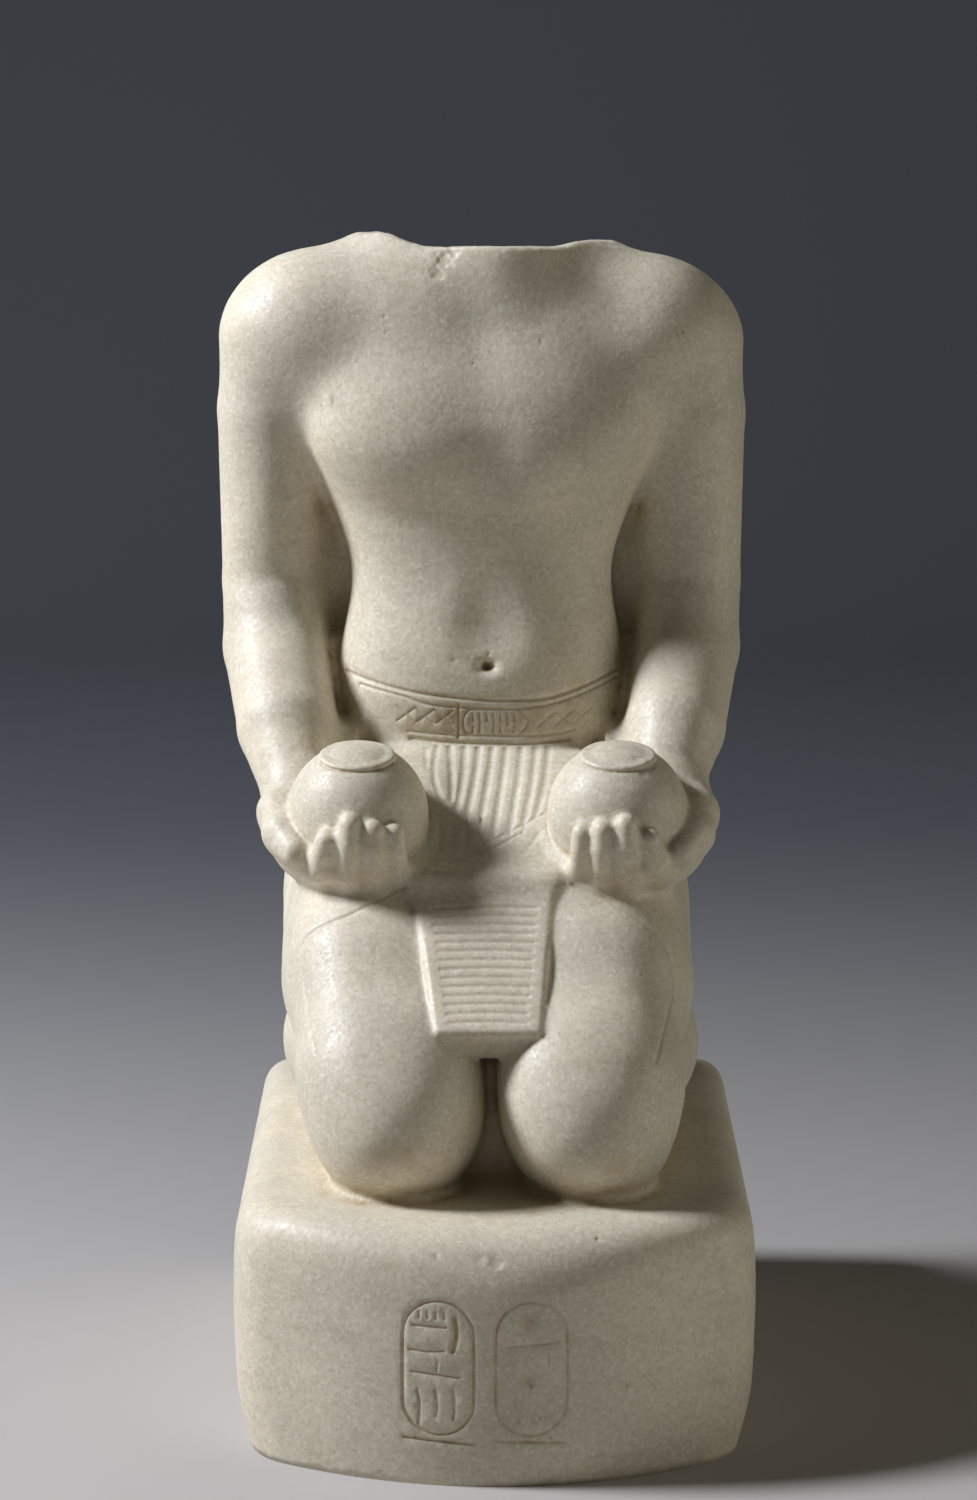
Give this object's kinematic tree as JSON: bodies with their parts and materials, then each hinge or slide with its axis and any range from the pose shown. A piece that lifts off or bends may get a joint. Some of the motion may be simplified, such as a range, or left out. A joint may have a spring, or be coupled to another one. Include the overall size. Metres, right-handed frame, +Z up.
{
  "type": "kneeling statue",
  "caption": "Headless kneeling king in white marble, a round offering jar in each upturned hand, carved in one with an oblong plinth.",
  "frame": {"origin": "middle of the plinth's flat underside", "axes": "+Z up through the figure, -Y the way the figure faces, +X the figure's left"},
  "size_m": [0.1371, 0.1868, 0.2903],
  "materials": {
    "marble": "white crystalline marble, worn smooth, brown deposit in the hollows"
  },
  "bodies": {
    "root": {"kneeling_statue": "marble"}
  },
  "joints": []
}
